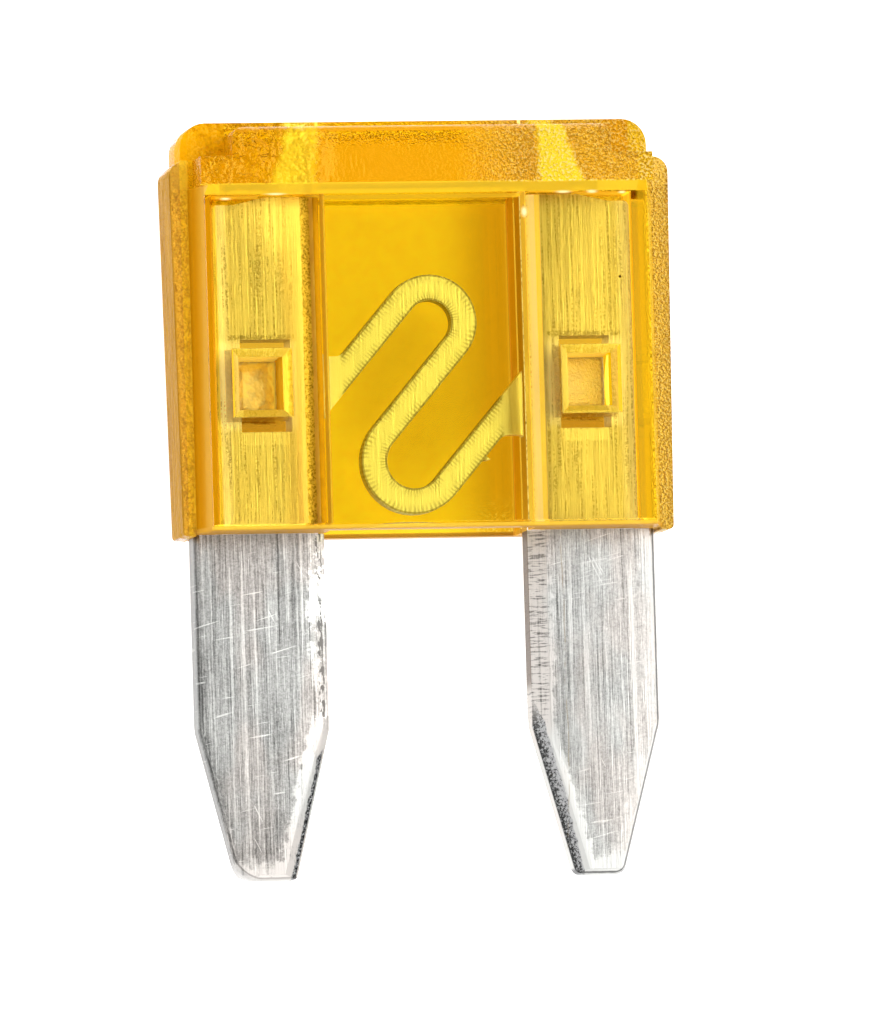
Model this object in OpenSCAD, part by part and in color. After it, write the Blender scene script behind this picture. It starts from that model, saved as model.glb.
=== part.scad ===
// Small-format plug-in blade fuse.
// A clear amber housing, moulded in one piece, is closed round a fuse element that is
// stamped in one piece: two flat blades and, between them, a thin S-shaped melting link.
//
// The fuse lies on its back. X runs across the two blades, +Y runs from the blade tips
// to the head, and +Z comes out of the front face. All sizes are in millimetres.
// Heights of features are measured along Y from the underside of the housing.

/* [Housing outline] */
// Height of the housing, from the underside of its body to the top of the rib
housing_h = 8.88; // [8.4:0.01:9.4]
// Width across the side ribs at the shoulders
rib_w = 10.96; // [10.76:0.02:11.5]
// Width across the side ribs at the underside
rib_foot_w = 10.76; // [10.5:0.02:10.9]
// How far the side ribs reach below the underside of the body
foot_drop = 0.05; // [0.01:0.01:0.15]
// Corner radius of the feet of the side ribs
foot_r = 0.1; // [0.05:0.01:0.2]
// Thickness of the rib that runs round the sides and over the top
rib_t = 1.5; // [1.2:0.1:1.9]
// Width across the ribs of the narrow top tier
crown_w = 10.24; // [9.6:0.02:10.5]
// Height of the narrow top tier
crown_h = 0.82; // [0.6:0.01:1.1]
// How far the narrow top tier lies towards the left
crown_shift = 0.1; // [0:0.01:0.15]
// Corner radius of the top tier
crown_r = 0.55; // [0.1:0.05:0.6]
// Corner radius of the shoulders below the top tier
shoulder_r = 0.35; // [0.1:0.05:0.4]

/* [Housing faces] */
// Thickness of the housing across its head
head_t = 3.6; // [3.3:0.1:4.2]
// Height of the thick head band, from its lower edge to the top of the rib
head_h = 1.43; // [1.3:0.01:1.7]
// Width of the head face in the top tier
crown_face_w = 8.3; // [7.6:0.02:9.2]
// Width of the head face below the shoulders
head_face_w = 9.9; // [9.75:0.05:10.2]
// How far the head face stops below the top of the rib
face_drop = 0.19; // [0.1:0.01:0.3]
// Corner radius of the head face
face_r = 0.25; // [0.1:0.05:0.4]
// Depth of the window panels below the head faces
panel_recess = 0.2; // [0.1:0.05:0.35]
// Height of the slope from the head face down to the panel
panel_slope_h = 0.2; // [0.1:0.05:0.4]
// Width of each window panel at its face
panel_w = 9.7; // [9.6:0.05:9.9]
// Width of each window panel where it meets the rib
panel_root_w = 10.18; // [9.95:0.02:10.3]
// Radius of the rounded long edges at the top of the head and along the underside
edge_r = 0.14; // [0.05:0.01:0.2]

/* [Housing inside] */
// Thickness of the clear wall in front of and behind the melting link
window_wall = 0.5; // [0.35:0.05:0.7]
// Width of the chamber round the melting link
chamber_w = 4.45; // [4.1:0.05:4.9]
// Free play between the element and its channel, on each side
fit_gap = 0.05; // [0.03:0.01:0.1]
// Width of the probe slot above each blade at the top of the head
probe_w = 0.65; // [0.5:0.05:0.9]
// Width of the probe slot where it meets the blade
probe_root_w = 1.1; // [0.8:0.05:1.3]
// Thickness of the probe slot
probe_t = 0.8; // [0.5:0.05:0.9]
// Distance of each probe slot from the middle of the fuse at the top of the head
probe_x = 2.65; // [2.5:0.01:2.9]
// Distance of each probe slot from the middle of the fuse where it meets the blade
probe_root_x = 2.94; // [2.8:0.02:3.3]

/* [Stakes] */
// Width of the pressed pocket in the panel over each blade hole
pocket_w = 1.32; // [1.1:0.02:1.5]
// Height of the pressed pocket
pocket_h = 1.5; // [1.2:0.05:1.8]
// Depth of the pressed pocket
pocket_depth = 0.95; // [0.4:0.05:0.95]
// Width of the sloping rim round the mouth of the pocket
pocket_rim_w = 0.18; // [0.05:0.01:0.2]
// Depth of the sloping rim
pocket_rim_depth = 0.2; // [0.1:0.01:0.3]
// How much the pocket narrows on each side from its rim down to its floor
pocket_draft = 0.04; // [0.01:0.01:0.1]
// How far outside the blade hole the left pocket lies
left_pocket_shift = 0.2; // [0:0.02:0.3]
// Width of the post that locks each blade
post_w = 0.92; // [0.6:0.02:0.96]
// Height of the post that locks each blade
post_h = 1.24; // [0.8:0.02:1.5]

/* [Blades] */
// Width of the left blade outside the housing
left_blade_w = 2.87; // [2.6:0.01:3]
// Width of the right blade outside the housing
right_blade_w = 2.8; // [2.6:0.05:3]
// Thickness of the blades
blade_t = 0.8; // [0.6:0.05:1]
// Gap between the two blades
blade_gap = 4.45; // [4.2:0.05:4.5]
// Length of the blades below the housing
blade_out = 7.47; // [6.5:0.01:8.5]
// Height of the blades inside the housing
shank_h = 7.25; // [6.9:0.05:7.3]
// How much narrower the outer side of each blade is inside the housing
shank_step = 0.45; // [0.35:0.05:0.6]
// How much lower the outer part of the blade's top edge lies
shank_drop = 0.16; // [0.05:0.01:0.25]
// Width of that lower part
shank_low_w = 0.45; // [0.3:0.05:0.6]
// Width of the slope from the lower part up to the higher part
shank_slope_w = 0.7; // [0.4:0.05:0.9]
// Radius of the blade's outer corner inside the head
shank_r = 0.12; // [0.05:0.01:0.2]
// Length of the tapered end of a blade
taper_len = 3.22; // [2:0.02:4]
// Width of the left blade at its very tip
left_tip_w = 1.28; // [0.9:0.02:1.8]
// Width of the right blade at its very tip
right_tip_w = 1.06; // [0.9:0.02:1.8]
// Corner radius of the left blade's tip on its outer side
left_tip_r = 0.5; // [0.15:0.05:0.6]
// Corner radius of the left blade's tip on its inner side
left_tip_inner_r = 0.12; // [0.05:0.01:0.3]
// Corner radius of the right blade's tip on its outer side
right_tip_r = 0.22; // [0.1:0.01:0.4]
// Corner radius of the right blade's tip on its inner side
right_tip_inner_r = 0.26; // [0.1:0.01:0.4]

/* [Coined edges] */
// Width of the coined bevel along the inner edge of a blade
inner_bevel_w = 0.4; // [0.2:0.02:0.5]
// Width of the coined bevel along the outer edge of a blade
outer_bevel_w = 0.12; // [0.05:0.01:0.3]
// Width of the coined bevel on the inner side of the taper
taper_bevel_w = 0.3; // [0.1:0.02:0.4]
// Depth of the bevels along the straight edges
bevel_depth = 0.13; // [0.05:0.01:0.2]
// Depth of the bevels round the tapered end
tip_bevel_depth = 0.2; // [0.1:0.01:0.25]

/* [Stake holes] */
// Distance of each blade hole from the middle of the fuse
hole_x = 3.5; // [3.4:0.02:3.7]
// Height of the middle of the blade holes and of the stakes
hole_y = 3.17; // [2.8:0.01:3.6]
// Width of a blade hole
hole_w = 1.1; // [1.02:0.02:1.2]
// Height of a blade hole
hole_h = 2.0; // [1.7:0.05:2.4]

/* [Melting link] */
// Width of the link
link_w = 0.56; // [0.3:0.02:0.8]
// Thickness of the link
link_t = 0.4; // [0.2:0.05:0.6]
// Slope of the three straight legs
link_angle = 49.5; // [44:0.5:56]
// Length of the middle leg between the two bends
link_leg = 2.56; // [2.2:0.02:2.8]
// Centre-line radius of the upper bend
upper_bend_r = 0.755; // [0.6:0.005:0.9]
// Centre-line radius of the lower bend
lower_bend_r = 0.875; // [0.6:0.005:0.95]
// Height of the middle of the S
link_y = 3.08; // [2.9:0.01:3.3]
// Shift of the S towards the left blade
link_shift = 0.05; // [0:0.01:0.2]
// How far the level edge of each root reaches from the blade to the leg
root_len = 0.46; // [0.36:0.02:0.6]
// Radius of the fillet between the root and the leg
root_r = 0.3; // [0.1:0.05:0.35]
// Radius of the fillet between the root and the blade
root_corner_r = 0.1; // [0.04:0.02:0.12]
// Length of the burr on the lower edge of the right leg
burr = 0.11; // [0.05:0.01:0.15]
// Place of the burr along that leg, below the middle of the S
burr_at = 0.3; // [0.1:0.02:0.6]

/* [Hidden] */

// overshoot of cutting shapes past the faces that they open
over = 0.5;
// overshoot of each bevel past the ends of its edge
bevel_over = 0.3;
// segments in a quarter turn of a drawn corner
corner_steps = 8;

shoulder_y = housing_h - crown_h;
head_y = housing_h - head_h;
face_top_y = housing_h - face_drop;
panel_t = head_t - 2 * panel_recess;
panel_draft = (panel_root_w - panel_w) / (panel_t - rib_t);

blade_in = blade_gap / 2;
shank_edge = blade_in + right_blade_w - shank_step;
taper_y = taper_len - blade_out;

channel_t = blade_t + 2 * fit_gap;
channel_w = 2 * (shank_edge + fit_gap);
cavity_h = shank_h + fit_gap;
chamber_t = panel_t - 2 * window_wall;

// Points of an arc round c, from angle a to angle b
function arc(c, r, a, b) = [
    for (i = [0:corner_steps]) let (t = a + (b - a) * i / corner_steps)
        [c[0] + r * cos(t), c[1] + r * sin(t)]
];

// An outline that is drawn on its right side and mirrored to its left side
function both_sides(pts) = concat(
    pts,
    [for (i = [len(pts) - 1:-1:0]) [-pts[i][0], pts[i][1]]]
);

// Turns a flat XZ section into a solid that runs along Y from y0 to y1
module along_y(y0, y1) {
    translate([0, y1, 0]) rotate([90, 0, 0]) linear_extrude(y1 - y0) children();
}

// Turns a flat YZ section into a solid of width w, centred across X
module along_x(w) {
    rotate([90, 0, 90]) linear_extrude(w, center = true) children();
}

// Turns a flat YZ section into a solid that runs along X from 0 to w
module along_x_from(w) {
    rotate([90, 0, 90]) linear_extrude(w) children();
}

// Rests the fuse on its back, centred over the origin
module lay_down() {
    translate([0, (blade_out - housing_h) / 2, head_t / 2]) children();
}

// The right side of the fuse, and its mirror image on the left
module each_side() {
    for (side = [0, 1]) mirror([side, 0, 0]) children();
}

// ---------------------------------------------------------------- housing

// Front view of the narrow top tier, sunk a little into the tier below it
module top_tier(w, top, r) {
    translate([-crown_shift, 0]) polygon(both_sides(concat(
        [[w / 2, shoulder_y - r]],
        arc([w / 2 - r, top - r], r, 0, 90)
    )));
}

// Front view of the rib: feet below the body, tapered sides, rounded shoulders and a
// narrower top tier
module rib_outline() {
    polygon(both_sides(concat(
        [[panel_root_w / 2, 0], [panel_root_w / 2, -foot_drop]],
        arc([rib_foot_w / 2 - foot_r, foot_r - foot_drop], foot_r, -90, 0),
        arc([rib_w / 2 - shoulder_r, shoulder_y - shoulder_r], shoulder_r, 0, 90)
    )));
    top_tier(crown_w, housing_h, crown_r);
}

// Front view of the raised head face, stepped like the rib round it
module head_face_outline() {
    polygon(both_sides([[head_face_w / 2, head_y], [head_face_w / 2, shoulder_y]]));
    top_tier(crown_face_w, face_top_y, face_r);
}

// Top view of the body between its ribs: the panels narrow towards their faces
module panel_section() {
    face_x = panel_w / 2 - panel_draft * panel_recess;
    root_x = panel_root_w / 2 + panel_draft * rib_t / 2;
    polygon([
        [-face_x, head_t / 2], [-root_x, 0], [-face_x, -head_t / 2],
        [face_x, -head_t / 2], [root_x, 0], [face_x, head_t / 2]
    ]);
}

// Side view of the body: thin at the panels, thick at the head, long edges rounded
module side_section() {
    face = head_t / 2;
    panel = panel_t / 2;
    right = concat(
        arc([edge_r, panel - edge_r], edge_r, 180, 90),
        [[head_y - panel_slope_h, panel], [head_y, face]],
        arc([face_top_y - edge_r, face - edge_r], edge_r, 90, 0)
    );
    polygon(concat(right, [for (i = [len(right) - 1:-1:0]) [right[i][0], -right[i][1]]]));
}

module housing_body() {
    linear_extrude(rib_t, center = true) rib_outline();
    intersection() {
        along_x(rib_w) side_section();
        union() {
            linear_extrude(head_t, center = true) head_face_outline();
            along_y(0, head_y) panel_section();
        }
    }
}

// The channel of both blades, the deeper chamber of the link and the probe slots,
// all formed by one core that leaves the housing through its underside
module cavity() {
    translate([-channel_w / 2, -over, -channel_t / 2])
        cube([channel_w, cavity_h + over, channel_t]);
    translate([-chamber_w / 2, -over, -chamber_t / 2])
        cube([chamber_w, cavity_h + over, chamber_t]);
    each_side() linear_extrude(probe_t, center = true) polygon([
        [probe_root_x - probe_root_w / 2, cavity_h - over],
        [probe_root_x + probe_root_w / 2, cavity_h - over],
        [probe_root_x + probe_root_w / 2, cavity_h],
        [probe_x + probe_w / 2, housing_h],
        [probe_x + probe_w / 2, housing_h + over],
        [probe_x - probe_w / 2, housing_h + over],
        [probe_x - probe_w / 2, housing_h],
        [probe_root_x - probe_root_w / 2, cavity_h]
    ]);
}

// One pressed pocket: a rectangle with a sloping rim and steep walls on all four sides
module pocket() {
    top = panel_t / 2;
    floor_z = top - pocket_depth;
    rim_z = top - pocket_rim_depth;
    lip = pocket_rim_w * over / pocket_rim_depth;
    function wedge(size) = let (well = size / 2 - pocket_rim_w) [
        [pocket_draft - well, floor_z], [well - pocket_draft, floor_z], [well, rim_z],
        [size / 2 + lip, top + over], [-size / 2 - lip, top + over], [-well, rim_z]
    ];
    translate([0, hole_y, 0]) intersection() {
        along_y(-pocket_h, pocket_h) polygon(wedge(pocket_w));
        along_x(2 * pocket_w) polygon(wedge(pocket_h));
    }
}

// The pockets of one blade, on the front and on the back
module pocket_pair(x) {
    for (face = [0, 180]) translate([x, 0, 0]) rotate([0, face, 0]) pocket();
}

// The post that stands through a blade hole and joins the front wall to the back wall
module post() {
    translate([hole_x, hole_y, 0]) cube([post_w, post_h, channel_t + 2 * fit_gap], center = true);
}

module housing() {
    color([0.93, 0.66, 0.08, 0.6]) lay_down() {
        difference() {
            housing_body();
            cavity();
            pocket_pair(-hole_x - left_pocket_shift);
            pocket_pair(hole_x);
        }
        each_side() post();
    }
}

// ---------------------------------------------------------------- fuse element

// Front view of a blade on the right side: tapered tip, full width w outside, stepped in
// inside, with the corner radii of its tip on its outer and on its inner side
module blade_outline(w, tip_w, outer_r, inner_r) {
    mid = blade_in + w / 2;
    tip = tip_w / 2;
    lean = atan((w - tip_w) / 2 / taper_len);
    low_h = shank_h - shank_drop;
    low_x = shank_edge - shank_low_w;
    // distance from the tip's corner to the centre line of a corner radius
    function set_in(r) = r * (1 - sin(lean)) / cos(lean);
    polygon(concat(
        [[blade_in, taper_y]],
        arc([mid - tip + set_in(inner_r), inner_r - blade_out], inner_r, 180 + lean, 270),
        arc([mid + tip - set_in(outer_r), outer_r - blade_out], outer_r, 270, 360 - lean),
        [[blade_in + w, taper_y], [blade_in + w, 0], [shank_edge, 0]],
        arc([shank_edge - shank_r, low_h - shank_r], shank_r, 0, 90),
        [[low_x, low_h], [low_x - shank_slope_w, shank_h], [blade_in, shank_h]]
    ));
}

// Takes the coined bevel off the front and the back of a blade along the edge from p to q,
// with the metal on the left of the way from p to q
module bevel_cut(p, q, width, depth) {
    way = q - p;
    slope = depth / width;
    for (face = [0, 1]) mirror([0, 0, face]) translate([p[0], p[1], 0])
        rotate([0, 0, atan2(way[1], way[0])])
            translate([-bevel_over, 0, blade_t / 2]) along_x_from(norm(way) + 2 * bevel_over)
                polygon([
                    [-over, -depth - slope * over], [width + over, slope * over], [-over, slope * over]
                ]);
}

module blade(w, tip_w, outer_r, inner_r) {
    foot = [blade_in, taper_y];
    heel = [blade_in + w, taper_y];
    tip_in = [blade_in + (w - tip_w) / 2, -blade_out];
    tip_out = [blade_in + (w + tip_w) / 2, -blade_out];
    difference() {
        linear_extrude(blade_t, center = true) blade_outline(w, tip_w, outer_r, inner_r);
        bevel_cut([blade_in, shank_h], foot, inner_bevel_w, bevel_depth);
        bevel_cut(foot, tip_in, taper_bevel_w, tip_bevel_depth);
        bevel_cut(tip_in, tip_out, outer_bevel_w, tip_bevel_depth);
        bevel_cut(tip_out, heel, outer_bevel_w, tip_bevel_depth);
        bevel_cut(heel, [blade_in + w, -bevel_over], outer_bevel_w, bevel_depth);
    }
}

// A straight leg of the link, from u0 to u1 along the leg at distance v across it
module leg(u0, u1, v) {
    translate([u0, v - link_w / 2]) square([u1 - u0, link_w]);
}

// A half turn of the link with its middle at (u, v), open to the left or to the right
module bend(u, v, r, open_right) {
    translate([u, v]) difference() {
        circle(r + link_w / 2, $fn = 96);
        circle(r - link_w / 2, $fn = 96);
        translate([open_right ? 0 : -2 * r, -2 * r]) square([2 * r, 4 * r]);
    }
}

// The outer leg that climbs to the blade on the right, whose edge lies at x = edge_x, and
// the root that joins them: level underneath, with a fillet at the leg and at the blade
module rooted_leg(u0, v, edge_x) {
    turn = [cos(link_angle), sin(link_angle)];
    inside = edge_x + link_w / 2;
    rotate(link_angle) leg(u0, (inside + v * sin(link_angle)) / cos(link_angle), v);

    // height of the leg's lower edge, and of its centre line, at distance x
    function leg_y(x, w) = (x * turn[1] + w) / turn[0];
    corner_x = edge_x - root_len;
    level = leg_y(corner_x, v - link_w / 2);
    leg_x = corner_x + root_r * tan(link_angle / 2);
    polygon(concat(
        arc([leg_x, level - root_r], root_r, 90 + link_angle, 90),
        arc([edge_x - root_corner_r, level - root_corner_r], root_corner_r, 90, 0),
        [[inside, level - root_corner_r], [inside, leg_y(inside, v)]],
        [[corner_x - root_r, leg_y(corner_x - root_r, v)]]
    ));
}

// Front view of the link round the middle of the S: three sloping legs and two half turns
module link_outline() {
    half = link_leg / 2;
    rotate(link_angle) {
        leg(-half, half, 0);
        bend(half, upper_bend_r, upper_bend_r, false);
        bend(-half, -lower_bend_r, lower_bend_r, true);
    }
    rooted_leg(-half, -2 * lower_bend_r, blade_in + link_shift);
    rotate(link_angle) translate([-burr_at, -2 * lower_bend_r - link_w / 2])
        polygon([[-burr, burr / 2], [burr, burr / 2], [burr, -burr], [0, 0], [-burr, 0]]);
    rotate(180) rooted_leg(-half, -2 * upper_bend_r, blade_in - link_shift);
}

module fuse_element() {
    color([0.78, 0.78, 0.76]) lay_down() difference() {
        union() {
            blade(right_blade_w, right_tip_w, right_tip_r, right_tip_inner_r);
            mirror([1, 0, 0]) blade(left_blade_w, left_tip_w, left_tip_r, left_tip_inner_r);
            translate([-link_shift, link_y]) linear_extrude(link_t, center = true) link_outline();
        }
        each_side() translate([hole_x, hole_y, 0]) cube([hole_w, hole_h, 2 * blade_t], center = true);
    }
}

housing();
fuse_element();
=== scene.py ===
# %% [markdown]
# # Plug-in blade fuse
# The fuse is two pieces: a clear amber housing, and inside it one strip of stamped zinc
# that is both the blades and the thin link between them. The frame loaded here holds the
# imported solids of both, in metres, with the fuse lying on its back on the floor: X runs
# across the blades, +Y points to the head and +Z comes out of the front face.
#
# The solids could be drawn again here, but their shapes are already right to a hundredth
# of a millimetre. So this lesson takes a copy of each, softens its edges as moulding and
# stamping do, and spends its effort on the two finishes.

# %% Load the frame
import math

import bpy
from mathutils import Matrix, Vector


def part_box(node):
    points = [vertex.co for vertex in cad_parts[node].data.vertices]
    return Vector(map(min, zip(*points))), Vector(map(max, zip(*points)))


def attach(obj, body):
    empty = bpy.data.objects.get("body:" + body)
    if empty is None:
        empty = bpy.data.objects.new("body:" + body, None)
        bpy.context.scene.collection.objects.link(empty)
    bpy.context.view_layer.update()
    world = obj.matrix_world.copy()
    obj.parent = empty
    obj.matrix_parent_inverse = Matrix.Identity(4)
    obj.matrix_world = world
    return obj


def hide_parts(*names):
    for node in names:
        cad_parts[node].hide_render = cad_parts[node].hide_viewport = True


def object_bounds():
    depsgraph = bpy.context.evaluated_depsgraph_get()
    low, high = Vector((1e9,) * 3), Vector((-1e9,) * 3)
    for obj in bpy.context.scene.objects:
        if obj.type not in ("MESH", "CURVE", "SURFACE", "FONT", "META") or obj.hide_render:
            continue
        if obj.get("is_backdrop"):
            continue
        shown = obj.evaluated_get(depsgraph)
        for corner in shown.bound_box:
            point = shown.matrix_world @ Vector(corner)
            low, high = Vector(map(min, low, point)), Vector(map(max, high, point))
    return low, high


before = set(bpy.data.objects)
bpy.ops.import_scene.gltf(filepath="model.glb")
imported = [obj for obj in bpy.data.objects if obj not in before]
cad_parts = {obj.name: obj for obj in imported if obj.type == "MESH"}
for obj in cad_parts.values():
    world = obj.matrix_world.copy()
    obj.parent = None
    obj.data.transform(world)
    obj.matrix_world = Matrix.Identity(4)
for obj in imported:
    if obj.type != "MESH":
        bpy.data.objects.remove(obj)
cad_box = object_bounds()

MM = 0.001
scene = bpy.context.scene
centre = (cad_box[0] + cad_box[1]) / 2
print("whole fuse, mm:", [round(v / MM, 2) for v in cad_box[1] - cad_box[0]])

# %% [markdown]
# The boxes of the two solids give every other place. Heights are counted along Y from the
# underside of the housing's body, as a maker's drawing would count them, and depths along
# Z from the plane in the middle of the fuse, in which the strip lies. The ribs at the sides
# of the housing reach a little below its body, so that much is added to the box.

# %% Measure the two solids
FOOT_DROP = 0.05
housing_low, housing_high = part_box("housing")
strip_low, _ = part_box("fuse_element")
underside = housing_low.y + FOOT_DROP * MM
middle = centre.z
blade_out = (underside - strip_low.y) / MM
housing_h = (housing_high.y - underside) / MM
print("housing height", round(housing_h, 2), "mm, blades below it", round(blade_out, 2), "mm")

# %% [markdown]
# ## Soft edges
# A moulded or stamped edge is never quite sharp: it catches a thin line of light. A shader
# can fake that with a Bevel node, but then the mesh stays sharp wherever else it is used, so
# the edges are rounded in the mesh. A solid from the frame is loose triangles, so its copy
# is merged first and its flat faces are joined, or the bevel would round every triangle. The
# bevel then rounds only the edges that turn by more than 30 degrees, and weighted normals
# keep the flat faces flat.


# %% Copy a solid and soften it
MERGE = 0.001 * MM
FLAT, SHARP, SMOOTH = math.radians(0.5), math.radians(30), math.radians(35)


def make_active(piece):
    """Selects one piece alone, so that an operator acts on nothing else."""
    bpy.ops.object.select_all(action="DESELECT")
    piece.select_set(True)
    bpy.context.view_layer.objects.active = piece


def copy_of(node, name):
    """A copy of a CAD solid with its loose triangles joined into flat faces."""
    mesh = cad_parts[node].data.copy()
    mesh.name = name
    piece = bpy.data.objects.new(name, mesh)
    scene.collection.objects.link(piece)
    make_active(piece)
    bpy.ops.object.mode_set(mode="EDIT")
    bpy.ops.mesh.select_all(action="SELECT")
    bpy.ops.mesh.remove_doubles(threshold=MERGE)
    bpy.ops.mesh.dissolve_limited(angle_limit=FLAT)
    bpy.ops.object.mode_set(mode="OBJECT")
    return piece


def soften(piece, width):
    """Rounds the edges of a piece and keeps its flat faces flat."""
    bevel = piece.modifiers.new("soft edges", "BEVEL")
    bevel.width = width
    bevel.segments = 2
    bevel.limit_method = "ANGLE"
    bevel.angle_limit = SHARP
    make_active(piece)
    bpy.ops.object.modifier_apply(modifier=bevel.name)
    bpy.ops.object.shade_smooth_by_angle(angle=SMOOTH)
    flat = piece.modifiers.new("flat faces", "WEIGHTED_NORMAL")
    flat.keep_sharp = True
    flat.weight = 100
    bpy.ops.object.modifier_apply(modifier=flat.name)
    print(piece.name, len(piece.data.polygons), "faces")


# %% [markdown]
# The plastic is moulded against a cavity with slightly rounded edges, and the strip is
# punched, which leaves a smaller round. Each copy stands for its solid and rides on the
# one body of the fuse.

# %% The two pieces
MOULD_ROUND, PUNCH_ROUND = 0.03 * MM, 0.02 * MM

housing = copy_of("housing", "clear_housing")
soften(housing, MOULD_ROUND)
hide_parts("housing")
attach(housing, "root")

strip = copy_of("fuse_element", "zinc_strip")
soften(strip, PUNCH_ROUND)
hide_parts("fuse_element")
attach(strip, "root")

# %% [markdown]
# ## Shader sums
# Both finishes change from place to place, so they are mostly sums on the place of each
# point. Wiring Math nodes by hand hides the sum. This small class wraps a socket instead,
# so that `1 - a * b` adds the nodes that work it out.


# %% Sums of sockets
class Wire:
    """An output socket of a shader, with + - * / that add Math nodes."""

    def __init__(self, paint, socket):
        self.paint, self.socket = paint, socket

    def __add__(self, other):
        return self.paint.math("ADD", self, other)

    def __sub__(self, other):
        return self.paint.math("SUBTRACT", self, other)

    def __rsub__(self, other):
        return self.paint.math("SUBTRACT", other, self)

    def __mul__(self, other):
        return self.paint.math("MULTIPLY", self, other)

    def __truediv__(self, other):
        return self.paint.math("DIVIDE", self, other)

    __radd__, __rmul__ = __add__, __mul__

    def to(self, name):
        """Another output of the same node."""
        return Wire(self.paint, self.socket.node.outputs[name])


# %% [markdown]
# A finish is one set of nodes. Any node of it comes from one method, which takes the node's
# type, its settings and its inputs. The others are the few that are used again and again: a
# soft step, a band between two places, the noise that gives grain, and coats of colour laid
# one over the other, each where its mask is 1.


# %% A finish and its nodes
class Paint:
    """A new material or world, whose nodes are added by type, settings and inputs."""

    def __init__(self, name, kind=bpy.data.materials):
        self.made = kind.new(name)
        self.made.use_nodes = True
        self.tree = self.made.node_tree
        self.tree.nodes.clear()

    def node(self, kind, settings=None, inputs=None, output=0):
        """Adds any node: its settings first, then the values or links of its inputs."""
        made = self.tree.nodes.new("ShaderNode" + kind)
        for name, value in (settings or {}).items():
            setattr(made, name, value)
        for name, value in (inputs or {}).items():
            if isinstance(value, Wire):
                self.tree.links.new(value.socket, made.inputs[name])
            else:
                made.inputs[name].default_value = value
        return Wire(self, made.outputs[output]) if made.outputs else made

    def math(self, operation, *values):
        """Any Math node."""
        return self.node("Math", {"operation": operation}, dict(enumerate(values)))

    def size(self, value):
        """A number without its sign."""
        return self.math("ABSOLUTE", value)

    def length(self, u, v):
        """The length of the vector (u, v)."""
        return self.math("SQRT", u * u + v * v)

    def place(self):
        """The place on the piece in millimetres, and its X, its height and its depth."""
        metres = self.node("TexCoord").to("Object")
        spot = self.node(
            "VectorMath", {"operation": "SCALE"}, {"Vector": metres, "Scale": 1 / MM})
        axes = self.node("SeparateXYZ", None, {"Vector": spot})
        return spot, axes.to("X"), axes.to("Y") - underside / MM, axes.to("Z") - middle / MM

    def step(self, value, start, end):
        """0 before start, 1 past end, and a soft step between them."""
        return self.node("MapRange", {"interpolation_type": "SMOOTHSTEP"},
                         {"Value": value, "From Min": start, "From Max": end})

    def band(self, value, start, end, soft):
        """1 between start and end, with soft edges."""
        middle, half = (start + end) / 2, (end - start) / 2
        return self.step(self.size(value - middle), half + soft, half - soft)

    def stretch(self, spot, x, y, z):
        """The place with each axis multiplied, which squeezes a pattern along it."""
        return self.node("VectorMath", {"operation": "MULTIPLY"}, {0: spot, 1: (x, y, z)})

    def turned(self, spot, degrees):
        """The place turned about Z."""
        return self.node("Mapping", None, {
            "Vector": spot, "Rotation": (0, 0, math.radians(degrees))})

    def grain(self, spot, scale, detail=2.0, roughness=0.5):
        """Noise round 0.5, with so many grains to a millimetre."""
        return self.node("TexNoise", None, {
            "Vector": spot, "Scale": scale, "Detail": detail, "Roughness": roughness})

    def coats(self, colour, *coats):
        """A colour, and over it one coat after the other, each where its mask is 1."""
        for mask, coat in coats:
            colour = self.node("Mix", {"data_type": "RGBA"}, {
                "Factor": mask, 6: self.rgba(colour), 7: self.rgba(coat)}, output=2)
        return colour

    def rgba(self, colour):
        """A colour as a socket takes it."""
        return colour if isinstance(colour, Wire) else (*colour, 1.0)

    def finish(self, output, sockets):
        """Wires the output node and gives back what was made."""
        self.node(output, None, sockets)
        print(self.made.name, len(self.tree.nodes), "nodes")
        return self.made


# %% [markdown]
# ## Amber plastic
# The housing is polycarbonate, dyed amber. Light goes through it, so one shader is clear:
# it refracts, tints each wall that light passes, and absorbs along the way. But the real
# moulding isn't clear all over. Its sides, its ribs and the rims of its pockets scatter
# light like milk, where the mould was left rough or the light leaves the plastic at a
# slant. Tracing such scattering inside the plastic would take hours, so a second, milky
# shader is mixed in by zones. Each zone is a product of steps on X, height and depth, so
# that it stays on the piece from whichever side the fuse is looked at. Its edges are soft,
# and FINE, SOFT and WIDE are half the width of such an edge.

# %% Zones of the housing
FINE, SOFT, WIDE = 0.01, 0.015, 0.03
HEAD_H, SLOPE_H, CROWN_H, CROWN_SHIFT = 1.43, 0.2, 0.82, 0.1
CROWN_FACE, CROWN_SIDE = 4.15, 5.085
PANEL, RIB, RIB_SIDE, RIB_LEAN = 4.85, 5.07, 5.345, 0.013
PANEL_T, RIB_T = 1.6, 0.75
BODY_SIDE, EDGE_IN, EDGE_OUT = 5.12, 4.62, 5.04
FOOT_H, FOOT_SIDE = 0.09, 5.15
head_y, crown_y = housing_h - HEAD_H, housing_h - CROWN_H

amber = Paint("amber_plastic")
spot, x, height, depth = amber.place()
side, deep = amber.size(x), amber.size(depth)
right_half = amber.step(x, -0.1, 0.1)
left_half = 1 - right_half
front = amber.step(depth, -0.1, 0.1)
rear = 1 - front
right_side = amber.step(x, 0.5, 2.2)
left_side = amber.step(x, -1.9, -2.6)

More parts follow.
